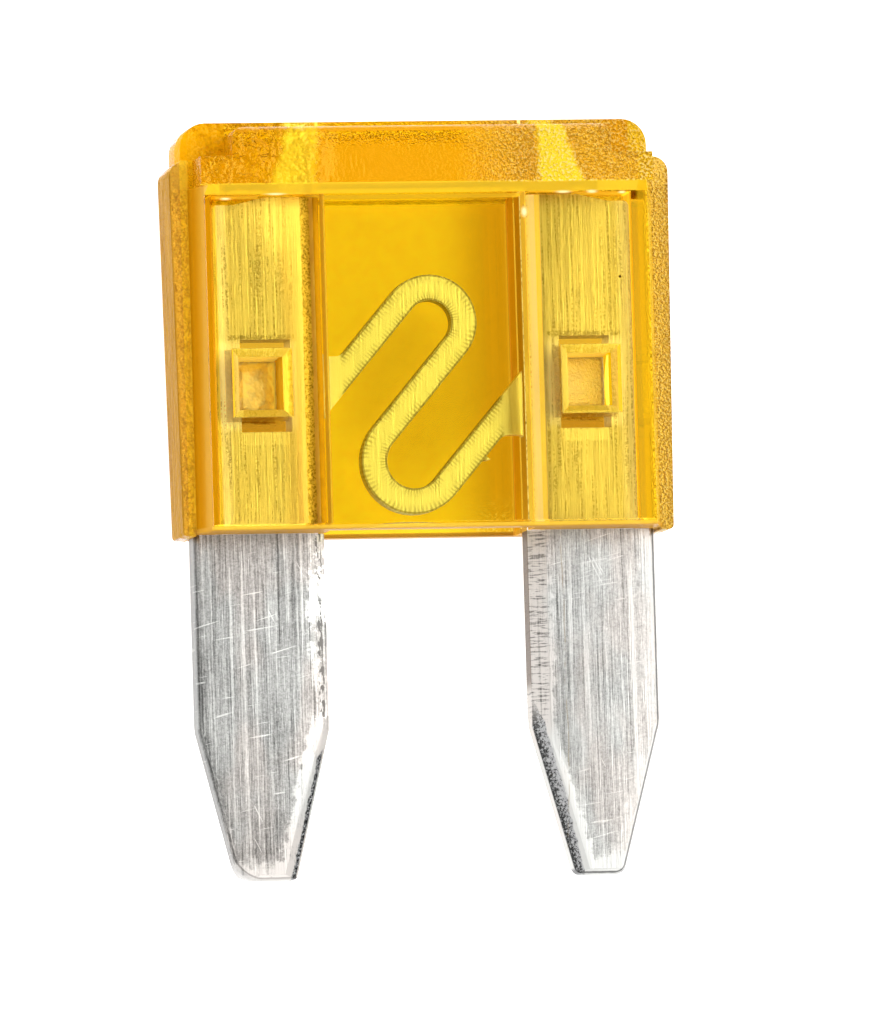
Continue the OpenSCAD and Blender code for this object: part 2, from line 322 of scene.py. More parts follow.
head = amber.step(height, head_y - WIDE, head_y + FINE)
slope = amber.band(height, head_y - SLOPE_H - FINE, head_y + FINE, SOFT)
slope = slope * amber.step(deep, PANEL_T - 5 * FINE, PANEL_T - FINE)
tier = amber.step(height, crown_y, crown_y + WIDE)
off_crown = amber.size(x + CROWN_SHIFT)
crown = tier * amber.step(off_crown, CROWN_FACE - 2 * FINE, CROWN_FACE + 2 * FINE)
crown_side = tier * amber.step(off_crown, CROWN_SIDE - SOFT, CROWN_SIDE + SOFT)
rib = amber.step(side, RIB - WIDE, RIB + WIDE)
rib_side = amber.step(side - height * RIB_LEAN, RIB_SIDE - SOFT, RIB_SIDE + SOFT)
body_side = amber.band(side, PANEL, BODY_SIDE, SOFT)
body_side = body_side * amber.band(deep, RIB_T + FINE, PANEL_T - WIDE, 2 * FINE) * (1 - head)
edge = amber.band(side, EDGE_IN, EDGE_OUT, WIDE)
foot = amber.step(height, FOOT_H + 2 * FINE, FOOT_H - 2 * FINE)
foot = foot * amber.step(side, FOOT_SIDE + 5 * FINE, FOOT_SIDE - 5 * FINE)
print("head from", round(head_y, 2), "mm, its crown from", round(crown_y, 2), "mm")

# %% [markdown]
# Inside, three zones matter: the flat window over the link, the walls of the chamber round
# the link, and the walls of the channel in which the blades lie. A zone reaches a thin skin
# past the face that it paints. The probe slots run down through the head to the blades and
# widen on the way. Their edges waver with a coarse noise, because the slot is seen through
# the rough face of the head.

# %% Window, chamber and channel
BLADE_IN, CHANNEL = 2.225, 4.625
CHAMBER_T, CHANNEL_T = 1.1, 0.45
SHANK_TOP = 7.3
SKIN = 0.035

window = amber.step(side, BLADE_IN + SKIN, BLADE_IN - SKIN - FINE)
chamber_wall = amber.band(side, BLADE_IN - SKIN, BLADE_IN + SKIN, FINE)
chamber_wall = chamber_wall * amber.band(
    deep, CHANNEL_T + FINE, CHAMBER_T + 2 * FINE, 2 * FINE)
in_channel = amber.step(deep, CHANNEL_T + FINE, CHANNEL_T - FINE)
channel_wall = amber.band(side, CHANNEL - SKIN, CHANNEL + SKIN, FINE) * in_channel
channel_end = amber.band(height, SHANK_TOP - WIDE, SHANK_TOP + WIDE, FINE) * in_channel
channel_end = channel_end * amber.step(side, CHANNEL + SKIN, CHANNEL + SKIN - FINE)
print("chamber", 2 * BLADE_IN, "mm wide, channel", 2 * CHANNEL, "mm wide")

# %% Probe slots
SLOT_X, SLOT_HALF = 2.94, 0.5
SLOT_LEAN, SLOT_FLARE, SLOT_WAVER, SLOT_SOFT = 0.2, 0.15, 0.25, 0.1
RIPPLE_GRAIN = 3.2

ripple = amber.grain(spot, RIPPLE_GRAIN, 2.0, 0.6)
slot_middle = SLOT_X - (height - head_y) * SLOT_LEAN
slot_half = SLOT_HALF - (height - head_y) * SLOT_FLARE + (ripple - 0.5) * SLOT_WAVER
slot = amber.step(amber.size(side - slot_middle) - slot_half, SLOT_SOFT, -SLOT_SOFT) * head

# %% [markdown]
# A hot punch presses a square pocket into each wall over each blade hole, and pushes
# plastic into the hole to lock the blade. Its floor is rough, its rim slopes, and the
# floor's outline is darker. The left punch sits further out than the right one. The
# shape is in the mesh, and these zones only find its floor, rim and walls by their depth.

# %% Pressed pockets
POCKET_X, POCKET_Y, LEFT_POCKET_SHIFT = 3.5, 3.17, 0.2
POCKET_HALF_W, POCKET_HALF_H, RIM_T, FLOOR_T = 0.69, 0.78, 1.38, 0.7
FLOOR_W, FLOOR_H = 0.44, 0.53
HOLE_HALF, HOLE_FROM, HOLE_TO = 0.56, 2.1, 2.56

across_pocket = side - POCKET_X - left_half * LEFT_POCKET_SHIFT
up_pocket = amber.size(height - POCKET_Y)
pocket = amber.step(amber.size(across_pocket), POCKET_HALF_W + FINE, POCKET_HALF_W - FINE)
pocket = pocket * amber.step(up_pocket, POCKET_HALF_H + FINE, POCKET_HALF_H - FINE)
pocket = pocket * amber.step(deep, PANEL_T - FINE, PANEL_T - 2 * FINE)
pocket_floor = pocket * amber.step(deep, FLOOR_T + 2 * FINE, FLOOR_T - WIDE)
pocket_rim = pocket * amber.step(deep, RIM_T - 2 * FINE, RIM_T + 2 * FINE)
pocket_wall = pocket * amber.band(deep, FLOOR_T, RIM_T, FINE)
toward_right = across_pocket * (right_half * 2 - 1)
pocket_east = pocket_wall * amber.step(toward_right, FLOOR_W - 4 * FINE, FLOOR_W - FINE)
off_hole = amber.size(side - POCKET_X)
hole_back = amber.step(off_hole, HOLE_HALF + 2 * FINE, HOLE_HALF - 2 * FINE) * rear
hole_back = hole_back * amber.band(height, HOLE_FROM, HOLE_TO, WIDE)
hole_back = hole_back * amber.step(deep, 0.6, 0.5)
print("pocket floors", 2 * FLOOR_W, "x", 2 * FLOOR_H, "mm")

# %% [markdown]
# Small things make a close view believable: a few soft glints under the head, which are
# painted highlights where the panel dips round the ends of the blades, and one dark speck
# caught in the plastic. Each is an ellipse on the front face.


# %% Glints, painted as highlights, and a speck
def spot_at(place_x, place_y, wide, high, soft):
    """1 inside an ellipse on the front face."""
    reach = amber.length((x - place_x) / wide, (height - place_y) / high)
    on_face = amber.step(depth, PANEL_T - 0.1, PANEL_T - 0.05)
    return amber.step(reach, 1.0, 1.0 - soft) * on_face


# Each painted glint is its X, its height, and how far it reaches either side and up and down.
GLINTS = (
    (2.13, 6.8, 0.12, 0.2), (3.0, 7.22, 0.3, 0.05), (3.63, 7.22, 0.2, 0.06),
    (4.29, 7.2, 0.14, 0.05), (-4.4, 7.15, 0.2, 0.05), (-3.3, 7.24, 0.35, 0.04),
)
glints = sum(spot_at(*glint, soft=0.9) for glint in GLINTS)
speck = spot_at(4.19, 5.37, 0.045, 0.045, soft=0.5)
print(len(GLINTS), "glints and one speck")

# %% [markdown]
# The mould's finish is not the same all over. To the right the head and the rib are finely
# grained, as if sand-blasted. To the left they are wrinkled like orange peel. Between them
# they are nearly smooth. Grain this fine would take millions of faces to model, so it stays
# in the finish. Two noises give both kinds: thresholds on the fine one make bright flecks
# and dark pits, and the places where the coarse one crosses its middle make wrinkles.

# %% Moulded grain
GRIT_GRAIN = 18.0

grit = amber.grain(spot, GRIT_GRAIN, 1.0, 0.6)
streaks = amber.grain(amber.stretch(spot, 9, 0.45, 9), 1.0, 0.0)
textured = head + rib - head * rib
grain_right = textured * right_side * (1 - crown * 0.4)
grain_left = textured * left_side * (1 - crown) * (1 - rib_side)
wrinkles = amber.step(amber.size(ripple - 0.5), 0.03, 0.005) * grain_left
wrinkles = wrinkles * (1 - slot * 0.8) * (0.4 - rib * 0.2)
flecks = amber.step(grit, 0.52, 0.6) * grain_right * (0.7 - rib * 0.3)
pits = amber.step(grit, 0.47, 0.4) * grain_right * (0.6 - rib * 0.3 - slot * 0.5)
veins = pocket_floor * amber.step(ripple, 0.5, 0.42) * (1 - right_half * 0.6)
past_floor = amber.math("MAXIMUM", amber.size(across_pocket) - FLOOR_W, up_pocket - FLOOR_H)
floor_ring = pocket_floor * amber.step(past_floor + (ripple - 0.5) * 0.12, -0.06, -0.02)

# %% [markdown]
# The clear part of the plastic is painted in coats, as a spray painter would lay them: the
# body, the rear wall that the light comes back from, then the darker head, slots, ribs and
# crown. The window's rear wall carries painted shade: it turns brown to the right, as a
# painted shadow of the housing, and in an oval round the link, as a painted shadow of the
# link. It is also a little mottled, with specks near its foot.

# %% Tint of the clear plastic
LINK_Y, SHADE_OVAL = 3.08, 0.75
SHADE_FROM, SHADE_TO = 1.9, 0.7

from_link = amber.length(x, (height - LINK_Y) * SHADE_OVAL)
link_shadow = amber.step(from_link, SHADE_FROM, SHADE_TO)
shade = amber.step(x, 0.6, 2.1)
window_specks = amber.step(grit, 0.56, 0.62) * amber.step(height, 1.0, 0.3) * shade
# Painted shade: browner to the right and round the link, as painted shadows.
rear_window = amber.coats(
    (0.98, 0.75, 0.05),
    (shade, (0.7, 0.42, 0.02)),
    (link_shadow * 0.3, (0.6, 0.34, 0.02)),
    (amber.step(ripple, 0.45, 0.65) * 0.15, (0.75, 0.45, 0.02)),
    (window_specks * 0.5, (1.0, 0.9, 0.3)))
rear_tint = amber.coats(
    (0.9, 0.75, 0.4), (window, rear_window), (edge * right_half, (1.0, 0.95, 0.6)))
edge_tint = amber.coats((0.85, 0.56, 0.04), (right_half, (1.0, 0.85, 0.2)))
head_tint = amber.coats(
    (0.67, 0.485, 0.01), (left_side, (0.6, 0.38, 0.01)), (right_side, (0.9, 0.63, 0.05)))
rib_tint = amber.coats((0.6, 0.35, 0.06), (right_half, (0.66, 0.44, 0.09)))
tint = amber.coats(
    (0.97, 0.9, 0.86),
    (window, (0.95, 0.88, 0.45)),
    (rear, rear_tint),
    (edge * (1 - rear * right_half), edge_tint),
    (hole_back * 0.85, (0.4, 0.18, 0.01)),
    (head, head_tint),
    (slot, (0.98, 0.95, 0.3)),
    (rib, rib_tint),
    (crown, (0.6, 0.33, 0.01)),
    (wrinkles, (0.3, 0.15, 0.01)),
    (flecks, (1.0, 0.9, 0.5)),
    (pits, (0.35, 0.2, 0.03)))

# %% [markdown]
# How milky each zone is goes into the factor of the mix. The flat zones are milky only on
# the front: on the back they would hold up the light from the floor. The sides and the
# inner walls are milky all round. The small marks come last, and each takes its share of
# what is still clear, so that the sum can't pass 1.

# %% How milky the plastic is
on_faces = head * 0.25 + slot * (0.1 + right_half * 0.35)
on_faces = on_faces + slope * 0.6 + rib * 0.45 + crown * 0.3
milkiness = (on_faces + pocket * (0.35 + pocket_wall * 0.35)) * front
milkiness = milkiness + rib_side * (0.53 + rear * 0.42) + crown_side * (0.4 + rear * 0.3)
milkiness = milkiness + body_side * left_half * 0.85 + edge * right_half * front * 0.3
milkiness = milkiness + (chamber_wall + channel_wall + channel_end) * 0.85
# The glints are painted highlights: they turn milky here, like the foot and the speck.
for mask, share in ((foot, 0.8), (glints, 0.75), (speck, 0.95)):
    milkiness = milkiness + mask * (1 - milkiness) * share

# %% [markdown]
# The milky colours run from the deep orange of the sides, where light has come a long way
# through the plastic, to the yellow of thin edges. Again they are coats, the general ones
# first and the small ones last.

# %% Colours of the milky plastic
LEFT_LIT_FROM, RIGHT_DARK_FROM = -5.245, 5.42

# The rib is painted lighter inward of LEFT_LIT_FROM, a painted highlight, and darker past
# RIGHT_DARK_FROM, a painted shade.
rib_milk = amber.coats(
    (0.72, 0.39, 0.045),
    (amber.step(x, LEFT_LIT_FROM - SOFT, LEFT_LIT_FROM + SOFT), (1.0, 0.6, 0.03)),
    (right_half, (1.0, 0.62, 0.08)),
    (amber.step(x, RIGHT_DARK_FROM - 2 * FINE, RIGHT_DARK_FROM + 2 * FINE), (0.7, 0.37, 0.03)))
rib_side_milk = amber.coats((0.32, 0.14, 0.008), (streaks, (0.56, 0.3, 0.03)))
body_milk = amber.coats((0.57, 0.23, 0.0005), (amber.step(deep, 1.0, 1.5), (0.66, 0.34, 0.02)))
floor_milk = amber.coats((1.0, 0.6, 0.03), (right_half, (1.0, 0.68, 0.1)))
east_milk = amber.coats((0.62, 0.32, 0.005), (right_half, (1.0, 0.7, 0.005)))
# The rear of the right chamber wall is painted darker, a painted shadow of the right blade.
chamber_milk = amber.coats(
    (1.0, 0.68, 0.08), (right_half, (1.0, 0.74, 0.2)), (right_half * rear, (0.7, 0.32, 0.004)))
foot_milk = amber.coats((0.6, 0.3, 0.03), (amber.step(deep, 1.5, 1.56), (0.8, 0.48, 0.04)))
milk = amber.coats(
    (0.92, 0.4, 0.001),
    (slot, (1.0, 0.74, 0.03)),
    (head * right_side * (1 - slot), (1.0, 0.54, 0.03)),
    (rib, rib_milk),
    (rib_side, rib_side_milk),
    (crown, (0.85, 0.38, 0.001)),
    (body_side, body_milk),
    (slope, (1.0, 0.65, 0.03)),
    (pocket, floor_milk),
    (pocket_rim, (1.0, 0.68, 0.04)),
    (pocket_wall, (1.0, 0.75, 0.12)),
    (pocket_east, east_milk),
    (chamber_wall, chamber_milk),
    (channel_wall + channel_end, (0.95, 0.7, 0.1)),
    (edge * right_half * (1 - channel_wall), (0.85, 0.5, 0.01)),
    # painted highlights where the glints are
    (glints, (1.0, 0.93, 0.5)),
    (speck, (0.02, 0.01, 0.0)),
    (foot, foot_milk),
    (wrinkles, (0.3, 0.13, 0.005)),
    (flecks, (1.0, 0.8, 0.3)),
    (pits, (0.3, 0.15, 0.02)),
    (veins * 0.6, (0.3, 0.15, 0.01)),
    (floor_ring * 0.8, (0.2, 0.09, 0.005)))

# %% [markdown]
# Clear plastic leads light along inside itself and lets it out at rough walls and pressed
# edges. The walls of the chamber, the channel and the pockets are given painted light for
# it: the milky shader gives them a little light of its own in their own colour, which also
# lifts the shade that they lie in. It is too faint to light other things, so the finish
# isn't sampled as a lamp, which saves render time.

# %% Painted light on the inner walls
DARK = (0.0, 0.0, 0.0)

painted_glow_share = chamber_wall * (0.3 + right_half * 0.13) + (channel_wall + channel_end) * 0.5
painted_glow_share = painted_glow_share + pocket_wall * 0.2 + pocket_floor * 0.1
glow = amber.coats(DARK, (painted_glow_share, milk))
amber.made.cycles.emission_sampling = "NONE"

# %% [markdown]
# The two shaders share one bump, which is the grain. The clear one also gets its gloss from
# how rough each zone is. The dye itself is an absorbing volume, because a thick wall is
# deeper in colour than a thin one.

# %% Finish of the housing
GRAIN_DEPTH = 0.12 * MM
PLASTIC_IOR = 1.58

relief = grit * (0.1 + right_side * 0.6) + ripple * left_side
roughness = textured * 0.09 + slope * 0.12 + pocket_floor * 0.3 + chamber_wall * 0.3
bump = amber.node("Bump", None, {
    "Strength": textured + pocket_floor * 0.5, "Distance": GRAIN_DEPTH, "Height": relief})
clear = amber.node("BsdfPrincipled", None, {
    "Base Color": tint, "Roughness": roughness, "IOR": PLASTIC_IOR, "Transmission Weight": 1.0,
    "Normal": bump, "Specular IOR Level": 0.22, "Specular Tint": (1.0, 0.7, 0.1, 1.0),
})
# Its emission is painted light on the walls of the chamber, the channel and the pockets.
milky = amber.node("BsdfPrincipled", None, {
    "Base Color": milk, "Roughness": 0.5, "Normal": bump, "Specular IOR Level": 0.02,
    "Emission Color": glow, "Emission Strength": 1.0,
})
both = amber.node("MixShader", None, {"Fac": milkiness, 1: clear, 2: milky})
dye = amber.node(
    "VolumeAbsorption", None, {"Color": (0.994, 0.89, 0.0, 1.0), "Density": 1 / MM})
housing.data.materials.clear()
housing.data.materials.append(amber.finish("OutputMaterial", {"Surface": both, "Volume": dye}))

# %% [markdown]
# ## Zinc
# The strip is rolled zinc, punched and then coined along its edges. Rolling leaves lines
# along the blades, coining presses bevels and burnishes them white, and handling scratches
# everything. Its bevels and rims also carry painted highlights and painted shade. Such marks
# could be painted on an image wrapped round the strip, but then they would have to be
# painted again for each blade. Instead each point works out how far it is from the edges of
# its own blade, and every mark is placed by those distances.

# %% Distances on a blade
TAPER = 3.22
LEFT_W, RIGHT_W = 2.87, 2.8
LEFT_TIP, RIGHT_TIP = 1.28, 1.06
LEFT_CORNER, RIGHT_CORNER = 0.5, 0.22

zinc = Paint("zinc")
spot, x, height, _ = zinc.place()
side = zinc.size(x)
outside = zinc.step(height, 0.01, -0.01)
inside = 1 - outside
right_blade = zinc.step(x, -0.1, 0.1)
left_blade = 1 - right_blade


def each_blade(left, right):
    """A value that is one number on the left blade and another on the right one."""
    return left + right_blade * (right - left)


lean = each_blade((LEFT_W - LEFT_TIP) / 2 / TAPER, (RIGHT_W - RIGHT_TIP) / 2 / TAPER)
square_on = math.cos(math.atan((LEFT_W - LEFT_TIP) / 2 / TAPER))
below = TAPER - blade_out - height
set_in = zinc.math("MAXIMUM", below, 0.0) * lean
from_inner = (side - BLADE_IN - set_in) * square_on
from_outer = (each_blade(LEFT_W, RIGHT_W) + BLADE_IN - side - set_in) * square_on
from_tip = height + blade_out
print("blades taper to", LEFT_TIP, "and", RIGHT_TIP, "mm")

# %% [markdown]
# The rolled surface is several noises, each stretched along the blade: broad and fine
# lines, a few single ones that stand out, a grit all over, and slow clouds. Scratches run
# the other way. Each kind is a stretched noise cut off high, so that only short thin marks
# are left.

# %% Rolled lines, grit and scratches
cloud = zinc.grain(spot, 0.9, 2.0, 0.5)
ragged = zinc.grain(spot, 5.0, 3.0, 0.6) - 0.5
grit = zinc.grain(spot, GRIT_GRAIN, 3.0, 0.8) - 0.5
brush = zinc.grain(zinc.stretch(spot, 22, 0.3, 22), 1.0, 4.0, 0.65) - 0.5
fine = zinc.grain(zinc.stretch(spot, 45, 3, 45), 1.0, 2.0, 0.6) - 0.5
single = zinc.grain(zinc.stretch(spot, 9, 0.14, 9), 1.0, 2.0, 0.5)
single_lines = zinc.step(single, 0.6, 0.66) * 0.35 - zinc.step(single, 0.38, 0.33) * 0.3
lines = brush * 1.6 + fine * 0.8 + (cloud - 0.5) * 0.5


def scratches(degrees, share):
    """Short bright scratches at an angle, on a share of the surface."""
    marks = zinc.grain(zinc.stretch(zinc.turned(spot, degrees), 0.8, 22, 1), 1.0, 1.0, 0.4)
    where = zinc.grain(zinc.turned(spot, degrees + 40), 1.1, 1.0, 0.5)
    return zinc.step(marks, 0.7, 0.74) * zinc.step(where, share, share + 0.08)


scratched = scratches(-8, 0.45) + scratches(-16, 0.5) + scratches(64, 0.6)

# %% [markdown]
# Coining leaves its own marks. The inner edge of each blade and its tip are painted lighter,
# in patches on the left blade and nearly all along on the right one: partly they are
# burnished, and partly this is a painted highlight of the rounded edge. On the right blade
# the tool also left fine dark rungs across the bevel. A column of dark specks runs beside
# the left patches.

# %% Burnished edges with painted highlights, rungs and specks
taper = zinc.step(below, -0.6, 0.1)
patches = zinc.step(cloud + ragged * 0.6, 0.42, 0.5) * zinc.band(height, -2.6, -0.4, 0.3)
inner_zone = zinc.step(from_inner + ragged * 0.5, 0.52, 0.4)
# The inner edge and the tip: partly burnish, partly a painted highlight.
burnish_and_highlight = inner_zone * (taper + (1 - taper) * (right_blade * 0.7 + left_blade * patches))
burnish_and_highlight = burnish_and_highlight + zinc.step(from_tip + ragged * 0.8, 0.5, 0.2)
pale_outer = zinc.step(from_outer + ragged * 0.5, 0.5, 0.2) * right_blade
grey_outer = zinc.step(from_outer + ragged * 0.2, 0.3, 0.1) * left_blade
rungs = zinc.step(zinc.grain(zinc.stretch(spot, 2.5, 24, 2.5), 1.0, 2.0, 0.6), 0.46, 0.4)
rungs = rungs * zinc.step(from_inner, 0.5, 0.3) * right_blade * (1 - taper)
specks = zinc.step(zinc.grain(zinc.stretch(spot, 14, 5, 14), 1.0, 2.0, 0.6), 0.5, 0.44)
specks = specks * zinc.band(from_inner + ragged * 0.08, 0.09, 0.2, 0.03)
specks = specks * left_blade * (1 - taper)

# %% [markdown]
# Along the taper the coined bevel is steep, and it is painted black with specks, a painted
# shade of the steep face; it starts as a wedge. A thin black line of painted shade runs
# round the rounded outer edge and the tip, and the very edge is painted grey, a softer
# painted shade. Round a corner the distance to the edge is the corner's radius less the
# distance to its middle. The narrow inner side of the right blade is painted brown, a
# painted shade of that narrow side.

# %% Painted shade: steep bevel, outline and shaded side
steep_start = zinc.step(below, each_blade(0.25, -0.85), each_blade(0.6, 0.1))
narrowing = right_blade * zinc.step(from_tip, 2.0, 0.0) * 0.08
steep_w = (each_blade(0.15, 0.28) - narrowing) * steep_start
steep = zinc.step(from_inner + ragged * 0.12, steep_w, steep_w - 0.03) * steep_start
steep = steep * zinc.step(from_inner, each_blade(0.03, 0.0), each_blade(0.05, 0.02))

corner_r = each_blade(LEFT_CORNER, RIGHT_CORNER)
past_side = zinc.math("MAXIMUM", corner_r - from_outer, 0.0)
past_tip = zinc.math("MAXIMUM", corner_r - from_tip, 0.0)
rim = corner_r - zinc.length(past_side, past_tip)
outline = zinc.band(rim + ragged * 0.02, 0.025, 0.065, 0.012)
soft_rim = zinc.step(rim, 0.03, 0.01)
shaded_side = zinc.step(from_inner, 0.012, 0.004) * right_blade
shaded_side = shaded_side * zinc.step(height, -3.6, -3.2) * zinc.step(side, 2.2, 2.21)

# %% [markdown]
# The sum of the marks is one level from dark to light. It runs between two greys that are
# a little warmer in some places than in others, and the black and brown marks lie on top.

# %% Tone of the blades outside the housing
level = 0.42 + lines * 0.85 + grit * 1.1 + single_lines + right_blade * 0.2
level = level + scratched * 0.9 + burnish_and_highlight * 0.6 + pale_outer * 0.3 - grey_outer * 0.15
level = level - rungs * 0.7 - specks * 0.9
warm = zinc.step(zinc.grain(zinc.stretch(spot, 0.8, 0.4, 0.8), 1.0, 2.0, 0.5), 0.42, 0.58)
dark_zinc = zinc.coats((0.092, 0.092, 0.088), (warm, (0.105, 0.098, 0.09)))
light_zinc = zinc.coats((0.58, 0.58, 0.555), (warm, (0.61, 0.575, 0.54)))
steep_tone = zinc.coats(
    (0.01, 0.01, 0.01), (zinc.step(grit + from_inner * 0.8, 0.02, 0.2), (0.4, 0.4, 0.4)))
outside_tone = zinc.coats(
    dark_zinc,
    (level, light_zinc),
    # Painted shade: the steep bevel, the grey edge, its black line and the shaded side.
    (steep, steep_tone),
    (soft_rim * 0.5, (0.3, 0.3, 0.3)),
    (outline * each_blade(0.5, 0.85), (0.01, 0.01, 0.01)),
    (shaded_side * 0.9, (0.08, 0.04, 0.015)))

# %% [markdown]
# The melting link is an S: two half turns joined by three straight legs that slope by 49.5
# degrees. The punch leaves fine marks square to its path. A curve object could carry them as
# a texture, but the link is part of the one strip, so each point works out how far along
# the path it is, and how far off its centre line. Turning the axes by the slope makes the
# legs level. Past each end of the middle leg the path goes round a bend, where the angle
# times the radius is the length.

# %% Path of the link
LINK_ANGLE = math.radians(49.5)
LINK_SHIFT, LINK_LEG, LINK_HALF = 0.05, 2.56, 0.28
UPPER_BEND, LOWER_BEND = 0.755, 0.875


def link_places(x, height):
    """How far along the path of the link a point is, and how far off its centre line."""
    dx, dy = x + LINK_SHIFT, height - LINK_Y
    along = dx * math.cos(LINK_ANGLE) + dy * math.sin(LINK_ANGLE)
    across = dy * math.cos(LINK_ANGLE) - dx * math.sin(LINK_ANGLE)
    in_upper = zinc.math("GREATER_THAN", along, LINK_LEG / 2)
    in_lower = zinc.math("LESS_THAN", along, -LINK_LEG / 2)
    straight = 1 - in_upper - in_lower
    outer_legs = zinc.math(
        "MINIMUM", zinc.size(across - 2 * UPPER_BEND), zinc.size(across + 2 * LOWER_BEND))
    off = zinc.math("MINIMUM", zinc.size(across), outer_legs) * straight
    path = along * straight
    for inside, sign, radius in ((in_upper, 1.0, UPPER_BEND), (in_lower, -1.0, LOWER_BEND)):
        u, v = along * sign - LINK_LEG / 2, across - sign * radius
        path = path + zinc.math("ARCTAN2", v, u) * radius * inside
        off = off + zinc.size(zinc.length(u, v) - radius) * inside
    return path, off


bends = math.pi * (UPPER_BEND + LOWER_BEND)
print("middle leg and both bends:", round(LINK_LEG + bends, 2), "mm of path")

# %% [markdown]
# The punch tears the link a little as it cuts, which leaves fine marks square to its path.
# A sine along the path gives them, about 13 to a millimetre. A slow noise makes them uneven,
# and they fade towards the centre line and into the roots. A thin dark line of painted shade
# runs along both edges, the shade of their rounded sides.

# %% Marks on the link
CUTS, UNEVEN, ROOT = 80.0, 9.0, 1.75

path, off = link_places(x, height)
uneven = zinc.grain(zinc.stretch(spot, 3, 3, 1), 1.0, 2.0, 0.5)
cut = zinc.math("SINE", path * CUTS + uneven * UNEVEN) * 0.5 + 0.5
link = zinc.step(side, BLADE_IN, BLADE_IN - 0.04)
on_leg = zinc.step(side, ROOT + 0.05, ROOT - 0.05)
toward_edge = zinc.step(off, 0.02, 0.24) * zinc.step(off, 0.36, 0.3) * on_leg
link_level = 1.0 - cut * 0.8 * toward_edge * zinc.step(uneven, 0.3, 0.55) + (cloud - 0.5) * 0.6
link_edge_shade = zinc.step(off, LINK_HALF - 0.055, LINK_HALF - 0.03) * zinc.step(off, 0.34, 0.31)
link_edge_shade = link_edge_shade * on_leg * link

# %% [markdown]
# Inside the housing the blades are painted lighter: partly they are cleaner, and partly it
# is painted light, for the light that the plastic holds back. The plastic in front dyes them.
# They keep dotted streaks along the rolling, a dotted dark line at the top edge of each hole
# and a painted highlight at its foot. One long scratch wanders down the right blade.

# %% Streaks, holes and the long scratch
HOLE_X, HOLE_TOP, HOLE_FOOT = 3.5, 4.17, 2.14
SCRATCH_X = 2.99

dotted = zinc.step(zinc.grain(zinc.stretch(spot, 16, 0.5, 16), 1.0, 2.0, 0.6), 0.48, 0.4)
dotted = dotted * zinc.step(grit, -0.05, 0.05) * each_blade(0.9, 0.7)
beside_hole = zinc.size(side - HOLE_X)
hole_top_line = zinc.band(height + ragged * 0.06, HOLE_TOP, HOLE_TOP + 0.1, 0.03)
dotted = dotted + hole_top_line * zinc.step(beside_hole, 0.85, 0.75) * zinc.step(grit, -0.08, 0.02)
# A painted highlight at the foot of each hole.
hole_foot_highlight = zinc.band(height + ragged * 0.1, HOLE_FOOT - 0.24, HOLE_FOOT, 0.03)
hole_foot_highlight = hole_foot_highlight * zinc.step(beside_hole, 0.55, 0.45)
wander = (zinc.grain(zinc.stretch(spot, 0.1, 0.5, 0.1), 1.0, 2.0, 0.5) - 0.5) * 0.3
broken = zinc.step(zinc.grain(spot, 2.0, 2.0, 0.6), 0.4, 0.55)
long_scratch = zinc.band(x + wander, SCRATCH_X - FINE, SCRATCH_X + FINE, 0.012) * broken
# Inside, the level starts higher: partly cleaner metal, partly painted light.
inside_level = (0.72 + lines - dotted * 0.8 + hole_foot_highlight * 0.5) * (1 - link) + link_level * link

# %% [markdown]
# The coined bevel along the inner edge shows through the wall as stripes. On the left blade
# they are, from the edge inwards, a smooth brown one, a bright one, a dark rough one and a
# bright one. On the right blade they are a rough tan one, a pale one and a yellow one.

# %% Stripes of the coined bevel
rough_stripe = zinc.coats((0.18, 0.13, 0.06), (zinc.step(grit, -0.1, 0.06), (0.66, 0.55, 0.3)))
tan_stripe = zinc.coats((0.4, 0.32, 0.2), (zinc.step(grit, -0.12, 0.02), (1.0, 0.95, 0.9)))
left_bevel = zinc.coats(
    (0.38, 0.22, 0.02),
    (zinc.step(from_inner, 0.12, 0.14), (0.75, 0.62, 0.6)),
    (zinc.step(from_inner + ragged * 0.05, 0.2, 0.23), rough_stripe),
    (zinc.step(from_inner + ragged * 0.05, 0.4, 0.43), (0.92, 0.8, 0.85)))
right_bevel = zinc.coats(
    tan_stripe,
    (zinc.step(from_inner + ragged * 0.06, 0.08, 0.14), (1.0, 0.97, 1.0)),
    (zinc.step(from_inner, 0.26, 0.28), (1.0, 0.88, 0.35)))
bevel_w = each_blade(0.62, 0.38)
bevel = zinc.step(from_inner, bevel_w, bevel_w - 0.02) * (1 - link)
inner_flat = zinc.band(from_inner, 0.42, 0.85, 0.12) * left_blade * (1 - link)

# %% [markdown]
# The tones inside and outside meet at the underside of the housing. Along the outer edge,
# beside the pockets and on the right bevel, the metal gets painted light: a little light of
# its own in its own tone, which lifts the shade that the housing casts there. The blades are
# rough enough to show the soft boxes as a sheen and not as squares.

# %% Finish of the strip
LIT_FROM, LIT_TO = 4.3, 4.62
BRUSH_DEPTH = 0.006 * MM

inside_tone = zinc.coats(
    (0.5, 0.47, 0.44),
    (inside_level, (1.0, 1.0, 1.0)),
    (bevel, zinc.coats(left_bevel, (right_blade, right_bevel))),
    # Painted shade along both edges of the link.
    (link_edge_shade * 0.65, (0.2, 0.14, 0.06)),
    (inner_flat * 0.5, (0.72, 0.6, 0.45)),
    # Painted shade on the narrow inner side of the right blade.
    (shaded_side * (1 - link), (0.85, 0.5, 0.06)))
tone = zinc.coats(
    inside_tone, (outside, outside_tone), (long_scratch * 0.55, (0.25, 0.18, 0.08)))

beside_pocket = zinc.size(side - POCKET_X - left_blade * LEFT_POCKET_SHIFT)
up_pocket = zinc.size(height - POCKET_Y)
round_pocket = zinc.step(beside_pocket, 0.95, 0.75) * zinc.step(up_pocket, 1.05, 0.85)
